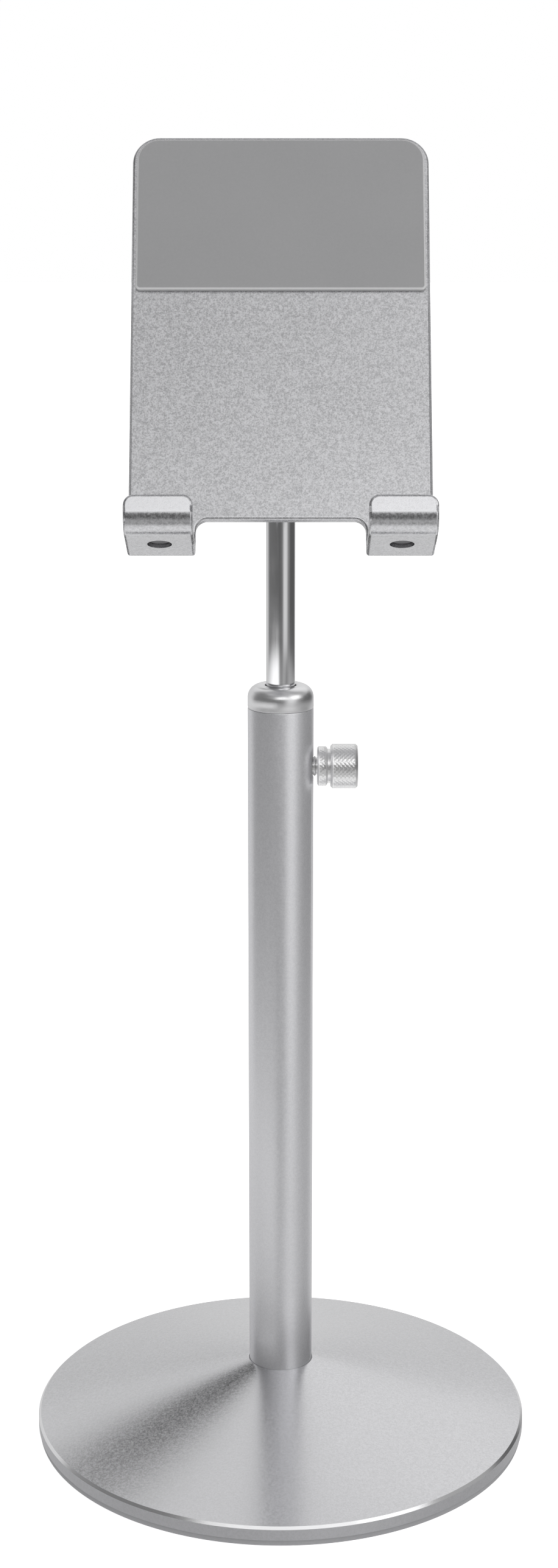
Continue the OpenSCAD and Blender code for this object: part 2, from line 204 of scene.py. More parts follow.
def moulded(name, slot, look):
    # silicone or plastic with the fine texture of its mould
    f = Finish(name, slot, (*look["light"], 1))
    pores = f.noise(look["grain"], 2.0, 0.55)
    cloud = f.noise(look["cloud"], 3.0, 0.5)
    f.surface({"Base Color": f.tint((pores * 0.45 + cloud * 0.55).clamp(), look["dark"], look["light"]),
               "Roughness": (look["rough"] + (pores - 0.5) * look["roughSpread"]).clamp(),
               "Specular IOR Level": look["specular"],
               "Normal": f.bump(pores, look["bump"], 0.04 * mm)})
    return f.material, f.slot


satinPlate = blasted("satinPlateFinish", "satin_aluminium", {
    "metal": 1.0, "grain": 3000, "cloud": 40, "sharp": 0.18, "contrast": 0.58, "cloudy": 0.15,
    "dark": (0.42, 0.42, 0.43), "light": (0.76, 0.76, 0.78),
    "rough": 0.27, "roughSpread": 0.10, "bump": 0.3, "bumpDepth": 0.00002})
satinBase = blasted("satinBaseFinish", "satin_aluminium", {
    "metal": 1.0, "grain": 2600, "cloud": 30, "sharp": 0.2, "contrast": 0.5, "cloudy": 0.2,
    "dark": (0.58, 0.58, 0.59), "light": (0.78, 0.78, 0.80),
    "rough": 0.22, "roughSpread": 0.06, "bump": 0.2, "bumpDepth": 0.00003})
# the rim's side: a darker, less metallic copy of the satin aluminium, painted shade
shadedRim = blasted("shadedRimFinish", "satin_aluminium", {
    "metal": 0.55, "grain": 2600, "cloud": 30, "sharp": 0.2, "contrast": 0.4, "cloudy": 0.2,
    "dark": (0.40, 0.40, 0.41), "light": (0.52, 0.52, 0.54),
    "rough": 0.36, "roughSpread": 0.06, "bump": 0.15, "bumpDepth": 0.00003})
satinTube = blasted("satinTubeFinish", "satin_aluminium", {
    "metal": 0.72, "grain": 3200, "cloud": 45, "sharp": 0.22, "contrast": 0.45, "cloudy": 0.2,
    "dark": (0.66, 0.66, 0.68), "light": (0.84, 0.84, 0.86),
    "rough": 0.34, "roughSpread": 0.06, "bump": 0.25, "bumpDepth": 0.00003})
brightCollar = blasted("brightCollarFinish", "bright_aluminium", {
    "metal": 1.0, "grain": 3600, "cloud": 60, "sharp": 0.25, "contrast": 0.3, "cloudy": 0.15,
    "dark": (0.78, 0.78, 0.79), "light": (0.90, 0.90, 0.91),
    "rough": 0.3, "roughSpread": 0.05, "bump": 0.12, "bumpDepth": 0.00003})
satinHinge = blasted("satinHingeFinish", "dark_aluminium", {
    "metal": 0.95, "grain": 2600, "cloud": 60, "sharp": 0.2, "contrast": 0.5, "cloudy": 0.2,
    "dark": (0.50, 0.50, 0.52), "light": (0.76, 0.76, 0.78),
    "rough": 0.38, "roughSpread": 0.07, "bump": 0.3, "bumpDepth": 0.00004})
satinBracket = blasted("satinBracketFinish", "satin_aluminium", {
    "metal": 0.95, "grain": 2600, "cloud": 60, "sharp": 0.2, "contrast": 0.5, "cloudy": 0.2,
    "dark": (0.56, 0.56, 0.57), "light": (0.82, 0.82, 0.84),
    "rough": 0.4, "roughSpread": 0.07, "bump": 0.3, "bumpDepth": 0.00004})
cutEdge = polished("diamondCutEdge", "bright_aluminium", {
    "lineScale": 900, "lines": (1, 1, 12), "smudge": 90,
    "dark": (0.80, 0.80, 0.81), "light": (0.93, 0.93, 0.94),
    "rough": 0.12, "lineRough": 0.06, "smudgeRough": 0.04, "bump": 0.08})
polishedRod = polished("polishedRodFinish", "polished_steel", {
    "lineScale": 700, "lines": (3, 3, 0.15), "smudge": 70,
    "dark": (0.66, 0.66, 0.67), "light": (0.80, 0.80, 0.81),
    "rough": 0.09, "lineRough": 0.06, "smudgeRough": 0.06, "bump": 0.05})
polishedScrew = polished("polishedScrewFinish", "polished_steel", {
    "lineScale": 800, "lines": (12, 1, 1), "smudge": 160,
    "dark": (0.84, 0.84, 0.84), "light": (0.96, 0.96, 0.96),
    "rough": 0.3, "lineRough": 0.06, "smudgeRough": 0.06, "bump": 0.08})
platedSteel = polished("platedSteelFinish", "plated_steel", {
    "lineScale": 800, "lines": (8, 1, 1), "smudge": 200,
    "dark": (0.44, 0.44, 0.45), "light": (0.66, 0.66, 0.68),
    "rough": 0.26, "lineRough": 0.1, "smudgeRough": 0.08, "bump": 0.12})
turnedBrass = polished("turnedBrassFinish", "brass_insert", {
    "lineScale": 900, "lines": (10, 1, 1), "smudge": 150,
    "dark": (0.62, 0.42, 0.16), "light": (0.86, 0.66, 0.32),
    "rough": 0.25, "lineRough": 0.1, "smudgeRough": 0.08, "bump": 0.1})
turnedIron = polished("turnedIronFinish", "grey_iron", {
    "lineScale": 500, "lines": (1, 1, 10), "smudge": 60,
    "dark": (0.10, 0.10, 0.11), "light": (0.24, 0.24, 0.25),
    "rough": 0.42, "lineRough": 0.15, "smudgeRough": 0.12, "bump": 0.2})
greySilicone = moulded("greySiliconeFinish", "grey_silicone", {
    "grain": 1800, "cloud": 35, "dark": (0.33, 0.33, 0.335), "light": (0.405, 0.405, 0.41),
    "rough": 0.55, "roughSpread": 0.1, "specular": 0.45, "bump": 0.12})
# a lighter copy of the grey silicone for the pad's rounded edge: painted highlight
padEdgeHighlight = moulded("padEdgeHighlightFinish", "grey_silicone", {
    "grain": 1800, "cloud": 35, "dark": (0.54, 0.54, 0.545), "light": (0.62, 0.62, 0.625),
    "rough": 0.4, "roughSpread": 0.1, "specular": 0.5, "bump": 0.1})
footSilicone = moulded("footSiliconeFinish", "grey_silicone", {
    "grain": 1500, "cloud": 30, "dark": (0.27, 0.27, 0.28), "light": (0.36, 0.36, 0.37),
    "rough": 0.6, "roughSpread": 0.12, "specular": 0.4, "bump": 0.2})
# a near-black copy of the grey silicone for the hook liners: painted shade of the hooks and their holes
shadedLinerSilicone = moulded("shadedLinerSiliconeFinish", "grey_silicone", {
    "grain": 1500, "cloud": 60, "dark": (0.09, 0.09, 0.095), "light": (0.13, 0.13, 0.135),
    "rough": 0.6, "roughSpread": 0.1, "specular": 0.4, "bump": 0.12})
whiteNylon = moulded("whiteNylonFinish", "white_nylon", {
    "grain": 900, "cloud": 60, "dark": (0.70, 0.70, 0.67), "light": (0.82, 0.82, 0.80),
    "rough": 0.42, "roughSpread": 0.1, "specular": 0.5, "bump": 0.08})
print("finishes made")


def newPiece(name, bm, finishes, body, replaces, place=None, sharp=32):
    # turns a bmesh into a piece of the object
    bmesh.ops.remove_doubles(bm, verts=bm.verts, dist=tiny)
    bmesh.ops.recalc_face_normals(bm, faces=bm.faces)
    if place is not None:
        bmesh.ops.transform(bm, matrix=place, verts=bm.verts)
    mesh = bpy.data.meshes.new(name)
    bm.to_mesh(mesh)
    bm.free()
    mesh.shade_smooth()
    mesh.set_sharp_from_angle(angle=math.radians(sharp))
    for material, slot in finishes:
        mesh.materials.append(material)
    piece = bpy.data.objects.new(name, mesh)
    bpy.context.scene.collection.objects.link(piece)
    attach(piece, body)
    if replaces:
        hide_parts(*replaces)
    return piece


def lathe(bm, chain, steps=128, closed=True):
    # each stop is radius and height in mm, then the rounding and its segments where it has one;
    # a closed chain makes a ring, an open one a solid
    made = [bm.verts.new((r * mm, 0, h * mm)) for r, h, *_ in chain]
    edges = [bm.edges.new(pair) for pair in zip(made, made[1:])]
    if closed:
        edges.append(bm.edges.new((made[-1], made[0])))
    bmesh.ops.spin(bm, geom=made + edges, cent=(0, 0, 0), axis=(0, 0, 1), dvec=(0, 0, 0),
                   angle=turn, steps=steps, use_merge=True, use_duplicate=False)
    bmesh.ops.remove_doubles(bm, verts=bm.verts, dist=tiny)
    for r, h, *rounding in chain:
        if rounding:
            ring = [e for e in bm.edges if len(e.link_faces) == 2 and all(
                abs(v.co.z - h * mm) < tiny and abs(v.co.xy.length - r * mm) < tiny for v in e.verts)]
            roundEdges(bm, ring, *rounding)
    return bm


def roundEdges(bm, edges, width, segments):
    return bmesh.ops.bevel(bm, geom=edges, offset=width * mm, offset_type="OFFSET", segments=segments,
                           profile=0.5, affect="EDGES", material=-1, clamp_overlap=True)


def laid(bm):
    # turns what stands along Z to lie along X
    bmesh.ops.transform(bm, matrix=alongX, verts=bm.verts)
    return bm


def bar(radius, length, segments, at=(0, 0, 0), along=None):
    # a round or six-sided bar round a point in mm, along Z unless it is turned
    bm = bmesh.new()
    place = Matrix.Translation([v * mm for v in at]) @ (along or Matrix())
    bmesh.ops.create_cone(bm, cap_ends=True, segments=segments, radius1=radius * mm, radius2=radius * mm,
                          depth=length * mm, matrix=place)
    return bm


def slab(bm, outline, depth, rounds=(), along="Y"):
    # a flat outline in X and Z (or Y and Z), its corners rounded, pulled into a slab
    made = [bm.verts.new((a * mm, 0, b * mm) if along == "Y" else (0, a * mm, b * mm)) for a, b in outline]
    bm.faces.new(made)
    for index, radius, segments in rounds:
        bmesh.ops.bevel(bm, geom=[made[index]], offset=radius * mm, offset_type="OFFSET",
                        segments=segments, profile=0.5, affect="VERTICES", material=-1, clamp_overlap=True)
    shift = Vector((0, depth * mm, 0)) if along == "Y" else Vector((depth * mm, 0, 0))
    pulled = bmesh.ops.extrude_face_region(bm, geom=bm.faces[:])["geom"]
    bmesh.ops.translate(bm, vec=shift, verts=[v for v in pulled if isinstance(v, bmesh.types.BMVert)])
    bmesh.ops.recalc_face_normals(bm, faces=bm.faces)
    return bm


def solidOf(bm, name="cutter"):
    bmesh.ops.recalc_face_normals(bm, faces=bm.faces)
    mesh = bpy.data.meshes.new(name)
    bm.to_mesh(mesh)
    bm.free()
    made = bpy.data.objects.new(name, mesh)
    bpy.context.scene.collection.objects.link(made)
    return made


def combine(bm, tool, operation="DIFFERENCE"):
    # an exact boolean between two bmeshes
    base, other = solidOf(bm, "blank"), solidOf(tool, "tool")
    modifier = base.modifiers.new("cut", "BOOLEAN")
    modifier.object, modifier.operation, modifier.solver = other, operation, "EXACT"
    result = base.evaluated_get(bpy.context.evaluated_depsgraph_get()).to_mesh()
    out = bmesh.new()
    out.from_mesh(result)
    for done in (base, other):
        mesh = done.data
        bpy.data.objects.remove(done)
        bpy.data.meshes.remove(mesh)
    bmesh.ops.remove_doubles(out, verts=out.verts, dist=tiny)
    return out


def soften(piece, width, segments=3, angle=35):
    edge = piece.modifiers.new("softEdges", "BEVEL")
    edge.width, edge.segments, edge.profile = width * mm, segments, 0.5
    edge.limit_method, edge.angle_limit = "ANGLE", math.radians(angle)
    edge.harden_normals = True
    edge.use_clamp_overlap = True
    return steady(piece)


def steady(piece):
    # large flat faces keep their own normals beside rounded edges
    flat = piece.modifiers.new("flatFaces", "WEIGHTED_NORMAL")
    flat.mode, flat.weight, flat.keep_sharp = "FACE_AREA", 50, True
    return piece


def moved(bm, x=0, y=0, z=0):
    bmesh.ops.translate(bm, vec=(x * mm, y * mm, z * mm), verts=bm.verts)
    return bm


def zSpan(node):
    low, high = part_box(node)
    return low.z / mm, high.z / mm


def buildBase():
    base = {"radius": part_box("base_shell")[1].x / mm, "rimTop": 5.0, "chamfer": 0.6, "seat": 18.0,
            "tubeRadius": 8.0, "fit": 0.03, "socket": 16.5, "screwHole": 3.3, "rings": (30, 48),
            "padTop": 1.6, "cavity": 57.5, "hub": 11.5, "hubLow": 10.6, "wall": 2.4,
            "seatEdge": 0.25, "lowEdge": 0.2, "steps": 192}
    topRadius = base["radius"] - base["chamfer"]
    slope = (base["seat"] - base["rimTop"]) / (topRadius - base["tubeRadius"])

    def cone(r):
        return base["rimTop"] + (topRadius - r) * slope
    socketRadius = base["tubeRadius"] + base["fit"]
    chain = [(base["screwHole"], base["hubLow"]), (base["screwHole"], base["socket"]),
             (socketRadius, base["socket"]), (socketRadius, base["seat"], base["seatEdge"], 2)]
    chain += [(r, cone(r)) for r in base["rings"]]
    chain += [(topRadius, base["rimTop"]), (base["radius"], base["rimTop"] - base["chamfer"]),
              (base["radius"], base["padTop"], base["lowEdge"], 2), (base["cavity"], base["padTop"])]
    chain += [(r, cone(r) - base["wall"]) for r in (base["cavity"], base["hub"])]
    chain += [(base["hub"], base["hubLow"])]
    bm = lathe(bmesh.new(), chain, steps=base["steps"])
    for face in bm.faces:
        middle = face.calc_center_median()
        r = middle.xy.length / mm
        if topRadius < r < base["radius"] and middle.z > (base["rimTop"] - 1) * mm:
            face.material_index = 1     # the bright-cut ring round the rim
        # the rim's side gets the darker copy of the satin finish: painted shade
        elif r > base["radius"] - 0.1:
            face.material_index = 2     # the rim's side
    newPiece("baseShell", bm, [satinBase, cutEdge, shadedRim], "column", ["base_shell"], sharp=20)

    pad = {"radius": base["radius"] - 0.3, "top": 1.57, "grooves": (22, 34, 46, 56), "width": 2.4,
           "depth": 0.35, "side": 0.3, "lowEdge": 0.3, "topEdge": 0.15}
    chain = [(0, 0)]
    half = pad["width"] / 2
    for r in pad["grooves"]:
        chain += [(r - half, 0), (r - half + pad["side"], pad["depth"]),
                  (r + half - pad["side"], pad["depth"]), (r + half, 0)]
    chain += [(pad["radius"], 0, pad["lowEdge"], 3), (pad["radius"], pad["top"], pad["topEdge"], 2),
              (0, pad["top"])]
    bm = lathe(bmesh.new(), chain, steps=base["steps"], closed=False)
    newPiece("footPad", bm, [footSilicone], "column", ["foot_pad"])


def buildColumn():
    low, high = zSpan("column_tube")
    clampZ = joints["clamp_turn"]["pos_m"][2] / mm
    tube = {"outer": 8.0, "bore": 6.8, "edge": 0.22, "clampHole": 2.8, "drillLength": 10}
    bm = lathe(bmesh.new(), [(tube["bore"], low), (tube["outer"], low),
                             (tube["outer"], high, tube["edge"], 2),
                             (tube["bore"], high)], steps=160)
    bm = combine(bm, bar(tube["clampHole"], tube["drillLength"], 64, (tube["outer"], 0, clampZ), alongX))
    newPiece("columnTube", bm, [satinTube], "column", ["column_tube"])

    low, high = zSpan("column_collar")
    seam = zSpan("column_tube")[1]
    collar = {"outer": 8.0, "spigot": 6.77, "hole": 3.8, "holeEdge": 0.3, "shoulder": 3.0, "lip": 0.25}
    bm = lathe(bmesh.new(), [(collar["hole"], low), (collar["spigot"], low), (collar["spigot"], seam),
                             (collar["outer"], seam, collar["lip"], 2),
                             (collar["outer"], high, collar["shoulder"], 12),
                             (collar["hole"], high, collar["holeEdge"], 3)], steps=160)
    newPiece("columnCollar", bm, [brightCollar], "column", ["column_collar"])


def knurl(bm, low, high, radius, screw):
    # presses a diamond knurl into the surface between two heights, fading at its ends
    def wave(t):
        return 1 - abs(2 * (t % 1) - 1)
    for v in bm.verts:
        r = v.co.xy.length / mm
        z = v.co.z / mm
        if r < radius - 0.02 or z < low - 1e-4 or z > high + 1e-4:
            continue
        around = math.atan2(v.co.y, v.co.x) / turn * screw["teeth"]
        along = (z - low) / screw["pitch"]
        groove = min(wave(around + along), wave(around - along))
        fade = min(1, (z - low) / screw["fade"], (high - z) / screw["fade"])
        press = screw["depth"] * (1 - groove) * max(0, fade)
        v.co.xy *= (r - press) / r


def buildThumbScrew():
    lo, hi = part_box("thumb_screw")
    screw = {"tip": lo.x / mm, "end": hi.x / mm, "thread": 2.5, "threadDepth": 0.42, "threadPitch": 0.8,
             "threadStops": (0.12, 0.4, 0.52), "flangeAt": 8.9, "flange": 4.85, "flangeLength": 2.4,
             "flangeEdge": 0.35, "grooveRadius": 4.2, "groove": 0.8, "head": 5.45, "chamfer": 0.5,
             "recess": 3.6, "recessFloor": 3.2, "recessDepth": 0.25,
             "teeth": 34, "pitch": 1.0, "depth": 0.11, "fade": 0.35, "rowsPerMm": 6}
    flangeEnd = screw["flangeAt"] + screw["flangeLength"]
    headAt = flangeEnd + screw["groove"]
    root = screw["thread"] - screw["threadDepth"]

    def rows(a, b, r):
        count = max(2, round((b - a) * screw["rowsPerMm"]))
        return [(r, a + (b - a) * i / count) for i in range(count + 1)]
    chain = [(0, screw["tip"]), (screw["thread"] - 0.5, screw["tip"])]
    at = screw["tip"] + 0.5
    crest, rootFrom, rootTo = screw["threadStops"]
    while at < screw["flangeAt"] - screw["threadPitch"] * 0.6:   # the thread, cut as rings
        chain += [(screw["thread"], at), (screw["thread"], at + crest)]
        chain += [(root, at + rootFrom), (root, at + rootTo)]
        at += screw["threadPitch"]
    chain += [(root, screw["flangeAt"])]
    f0, f1 = screw["flangeAt"] + screw["flangeEdge"], flangeEnd - screw["flangeEdge"]
    flangeFace = screw["flange"] - screw["flangeEdge"]
    chain += [(flangeFace, screw["flangeAt"])] + rows(f0, f1, screw["flange"]) + [(flangeFace, flangeEnd)]
    chain += [(screw["grooveRadius"], flangeEnd + 0.1), (screw["grooveRadius"], headAt)]
    h0, h1 = headAt + screw["chamfer"], screw["end"] - screw["chamfer"]
    headFace = screw["head"] - screw["chamfer"]
    chain += [(headFace, headAt)] + rows(h0, h1, screw["head"]) + [(headFace, screw["end"])]
    floor = screw["end"] - screw["recessDepth"]
    chain += [(screw["recess"], screw["end"]), (screw["recessFloor"], floor), (0, floor)]
    bm = lathe(bmesh.new(), chain, steps=180, closed=False)
    knurl(bm, f0, f1, screw["flange"], screw)
    knurl(bm, h0, h1, screw["head"], screw)
    place = Matrix.Translation((0, 0, joints["clamp_turn"]["pos_m"][2])) @ alongX
    newPiece("thumbScrew", bm, [polishedScrew], "clamp_screw", ["thumb_screw"], place, sharp=28)


def buildRod():
    low, high = zSpan("telescopic_rod")
    rod = {"radius": 3.5, "journal": 2.5, "journalTop": zSpan("stop_bush")[1] + 0.05, "edge": 0.25}
    bm = lathe(bmesh.new(), [(0, low), (rod["journal"], low), (rod["journal"], rod["journalTop"]),
                             (rod["radius"], rod["journalTop"], rod["edge"], 2),
                             (rod["radius"], high, rod["edge"], 2), (0, high)], steps=96, closed=False)
    newPiece("telescopicRod", bm, [polishedRod], "rod", ["telescopic_rod"])


def buildHinge():
    head = {"barrel": 6.0, "halfWidth": 4.6, "neck": 5.4, "drop": 11.5, "bore": 2.55, "rodHole": 3.53,
            "rodDepth": 7.5, "edge": 0.35, "boreLength": 20}
    barrel = laid(lathe(bmesh.new(), [(0, -head["halfWidth"]), (head["barrel"], -head["halfWidth"]),
                                      (head["barrel"], head["halfWidth"]), (0, head["halfWidth"])],
                        steps=96, closed=False))
    neck = lathe(bmesh.new(), [(0, -head["drop"]), (head["neck"], -head["drop"]), (head["neck"], 0), (0, 0)],
                 steps=96, closed=False)
    for side in (-1, 1):    # the neck's flats, in line with the barrel's ends
        cut = bmesh.ops.bisect_plane(neck, geom=neck.verts[:] + neck.edges[:] + neck.faces[:],
                                     plane_co=(side * head["halfWidth"] * mm, 0, 0), plane_no=(side, 0, 0),
                                     clear_outer=True)
        rim = [e for e in cut["geom_cut"] if isinstance(e, bmesh.types.BMEdge)]
        bmesh.ops.holes_fill(neck, edges=rim, sides=0)
    bm = combine(barrel, neck, "UNION")
    bm = combine(bm, bar(head["bore"], head["boreLength"], 72, along=alongX))
    bm = combine(bm, bar(head["rodHole"], 2 * head["rodDepth"], 72, (0, 0, -head["drop"])))
    piece = newPiece("hingeHead", bm, [satinHinge], "rod", ["hinge_head"], Matrix.Translation(hinge))
    soften(piece, head["edge"], 3, 40)

    # the bracket on the back of the plate, in the upright holder's frame
    bracket = {"back": -16.0, "thick": 2.5, "halfWidth": 14.2, "halfHeight": 11.0, "corner": 2.5,
               "earIn": 5.2, "earThick": 3.0, "earRadius": 6.0, "bore": 2.53, "screwX": 11.1, "screwV": 6.5,
               "screwHole": 1.53, "edge": 0.4, "gap": 0.03, "root": 1, "boreLength": 40, "screwLength": 12}
    w, h = bracket["halfWidth"], bracket["halfHeight"]
    bm = slab(bmesh.new(), [(-w, -h), (w, -h), (w, h), (-w, h)], bracket["thick"] - bracket["gap"],
              [(i, bracket["corner"], 8) for i in range(4)])
    moved(bm, y=bracket["back"] + bracket["gap"])
    r = bracket["earRadius"]
    root = bracket["back"] + bracket["root"]
    for side in (-1, 1):
        ear = slab(bmesh.new(), [(root, -r), (r, -r), (r, r), (root, r)], bracket["earThick"],
                   [(1, r - 0.002, 20), (2, r - 0.002, 20)], along="X")
        moved(ear, x=bracket["earIn"] if side > 0 else -bracket["earIn"] - bracket["earThick"])
        bm = combine(bm, ear, "UNION")
    bm = combine(bm, bar(bracket["bore"], bracket["boreLength"], 64, along=alongX))
    for x in (-bracket["screwX"], bracket["screwX"]):
        for v in (-bracket["screwV"], bracket["screwV"]):
            at = (x, bracket["back"], v)
            bm = combine(bm, bar(bracket["screwHole"], bracket["screwLength"], 32, at, alongY))
    piece = newPiece("hingeBracket", bm, [satinBracket], "holder", ["hinge_bracket"], toHolder)
    soften(piece, bracket["edge"], 3, 40)

    bolt = {"radius": 2.5, "earOut": 8.2, "head": 4.75, "headHeight": 2.8, "nut": 4.0, "socket": 1.74,
            "deep": 1.8, "gap": 0.03, "tipEdge": 0.4, "headEdge": 0.15, "crownEdge": 0.7, "edge": 0.1}
    left = -bolt["earOut"] - bolt["nut"]
    right = bolt["earOut"] + bolt["headHeight"]
    under = bolt["earOut"] + bolt["gap"]
    bm = laid(lathe(bmesh.new(), [(0, left), (bolt["radius"], left, bolt["tipEdge"], 2),
                                  (bolt["radius"], under), (bolt["head"], under, bolt["headEdge"], 2),
                                  (bolt["head"], right, bolt["crownEdge"], 5), (0, right)],
                    steps=96, closed=False))
    bm = combine(bm, bar(bolt["socket"], 2 * bolt["deep"], 6, (right, 0, 0), alongX))
    piece = newPiece("hingeBolt", bm, [platedSteel], "holder", ["hinge_bolt"], toHolder)
    soften(piece, bolt["edge"], 2, 50)

    nut = {"acrossCorners": 9.2, "height": 4.0, "chamfer": 0.55, "chamferHeight": 0.35, "bore": 2.53,
           "boreLength": 10}
    corner, half = nut["acrossCorners"] / 2, nut["height"] / 2
    flat, wide = half - nut["chamferHeight"], corner + 0.02
    hexagon = bar(corner, nut["height"], 6, along=alongX)
    crown = laid(lathe(bmesh.new(), [(0, -half), (corner - nut["chamfer"], -half), (wide, -flat),
                                     (wide, flat), (corner - nut["chamfer"], half), (0, half)],
                       steps=96, closed=False))
    bm = combine(hexagon, crown, "INTERSECT")
    bm = combine(bm, bar(nut["bore"], nut["boreLength"], 64, along=alongX))
    moved(bm, x=-bolt["earOut"] - bolt["gap"] - half)
    newPiece("hingeNut", bm, [platedSteel], "holder", ["hinge_nut"], toHolder, sharp=25)

    washer = {"bore": 2.55, "outer": 5.6, "inner": 4.65, "thick": 0.5, "edge": 0.12}
    bm = bmesh.new()
    for side in (-1, 1):
        a, b = sorted((side * washer["inner"], side * (washer["inner"] + washer["thick"])))
        ring = laid(lathe(bmesh.new(), [(washer["bore"], a), (washer["outer"], a, washer["edge"], 2),
                                        (washer["outer"], b, washer["edge"], 2), (washer["bore"], b)],
                          steps=96))
        mesh = bpy.data.meshes.new("ring")
        ring.to_mesh(mesh)
        ring.free()
        bm.from_mesh(mesh)
        bpy.data.meshes.remove(mesh)
    newPiece("frictionWashers", bm, [whiteNylon], "holder", ["friction_washers"], toHolder)


holder = {"width": 67.0, "height": 90.8, "thick": 2.5, "front": -18.5, "hingeUp": 66.3, "corner": 6.2,
          "hookWidth": 14.8, "hookDepth": 20.0, "hookDrop": 8.6, "lipDrop": 0.9, "rearBend": 4.0,
          "frontBend": 4.6, "lipLean": 4, "lipCorner": 2.2, "root": 2.6, "holeRadius": 2.65, "holeAt": 9.2,
          "holeLength": 8, "screwX": 11.1, "screwV": 6.5, "screwHole": 1.53, "sink": 2.73,
          "sinkDepth": 1.4, "edge": 0.6, "holeEdge": 0.12, "bendSteps": 12}


def followTab(bm, face):
    # bends one tab of the sheet into a hook: rear bend, shelf, front bend, lip
    h = holder
    bottom = -h["hingeUp"] - h["hookDrop"]

    def bend(face, y, z, angle=turn / 4):
        ret = bmesh.ops.spin(bm, geom=[face], cent=(0, y * mm, z * mm), axis=(1, 0, 0), dvec=(0, 0, 0),
                             angle=-angle, steps=h["bendSteps"], use_merge=False, use_duplicate=False)
        return next(f for f in ret["geom_last"] if isinstance(f, bmesh.types.BMFace))

    def pull(face, dy, dz):
        ret = bmesh.ops.extrude_face_region(bm, geom=[face])
        bmesh.ops.translate(bm, vec=(0, dy * mm, dz * mm),
                            verts=[v for v in ret["geom"] if isinstance(v, bmesh.types.BMVert)])
        return next(f for f in ret["geom"] if isinstance(f, bmesh.types.BMFace))
    back = h["front"] + h["thick"]
    face = bend(face, back - h["rearBend"], bottom + h["rearBend"])
    face = pull(face, -(h["hookDepth"] + h["thick"] - h["rearBend"] - h["frontBend"]), 0)
    lean = math.radians(h["lipLean"])
    face = bend(face, h["front"] - h["hookDepth"] + h["frontBend"], bottom + h["frontBend"], turn / 4 - lean)
    lipTop = -h["hingeUp"] - h["lipDrop"]
    reach = lipTop - bottom - h["frontBend"] * (1 - math.sin(lean))
    face = pull(face, -reach * math.sin(lean), reach * math.cos(lean))
    short = [e for e in face.edges if abs(e.verts[0].co.x - e.verts[1].co.x) < tiny]
    roundEdges(bm, short, h["lipCorner"], 8)


def buildHolderPlate():
    h = holder
    half, low, top = h["width"] / 2, -h["hingeUp"], h["height"] - h["hingeUp"]
    tabX, tabLow = half - h["hookWidth"], low - h["hookDrop"] + h["rearBend"]
    outline = [(-half, tabLow), (-tabX, tabLow), (-tabX, low), (tabX, low), (tabX, tabLow), (half, tabLow),
               (half, top), (-half, top)]
    bm = slab(bmesh.new(), outline, h["thick"],
              [(2, h["root"], 8), (3, h["root"], 8), (6, h["corner"], 16), (7, h["corner"], 16)])
    moved(bm, y=h["front"])
    for side in (-1, 1):
        face = next(f for f in bm.faces if f.normal.z < -0.9 and f.calc_center_median().x * side > tabX * mm
                    and abs(f.calc_center_median().z - tabLow * mm) < 1e-6)
        followTab(bm, face)
    bmesh.ops.remove_doubles(bm, verts=bm.verts, dist=tiny)
    bmesh.ops.recalc_face_normals(bm, faces=bm.faces)
    sharp = [e for e in bm.edges if len(e.link_faces) == 2 and e.calc_face_angle() > math.radians(40)]
    roundEdges(bm, sharp, h["edge"], 6)
    for side in (-1, 1):
        at = (side * (half - h["hookWidth"] / 2), h["front"] - h["holeAt"], low - h["hookDrop"])
        bm = combine(bm, bar(h["holeRadius"], h["holeLength"], 64, at))
    for x in (-h["screwX"], h["screwX"]):
        for v in (-h["screwV"], h["screwV"]):   # countersunk holes for the bracket's screws
            sink = lathe(bmesh.new(), [(0, -1), (h["sink"], -1), (h["sink"], 0),
                                       (h["screwHole"], h["sinkDepth"]), (h["screwHole"], 4), (0, 4)],
                         steps=48, closed=False)
            place = Matrix.Translation((x * mm, h["front"] * mm, v * mm)) @ Matrix.Rotation(-turn / 4, 4, "X")
            bmesh.ops.transform(sink, verts=sink.verts, matrix=place)
            bm = combine(bm, sink)
    piece = newPiece("holderPlate", bm, [satinPlate], "holder", ["holder_plate"], toHolder)
    soften(piece, h["holeEdge"], 2, 40)


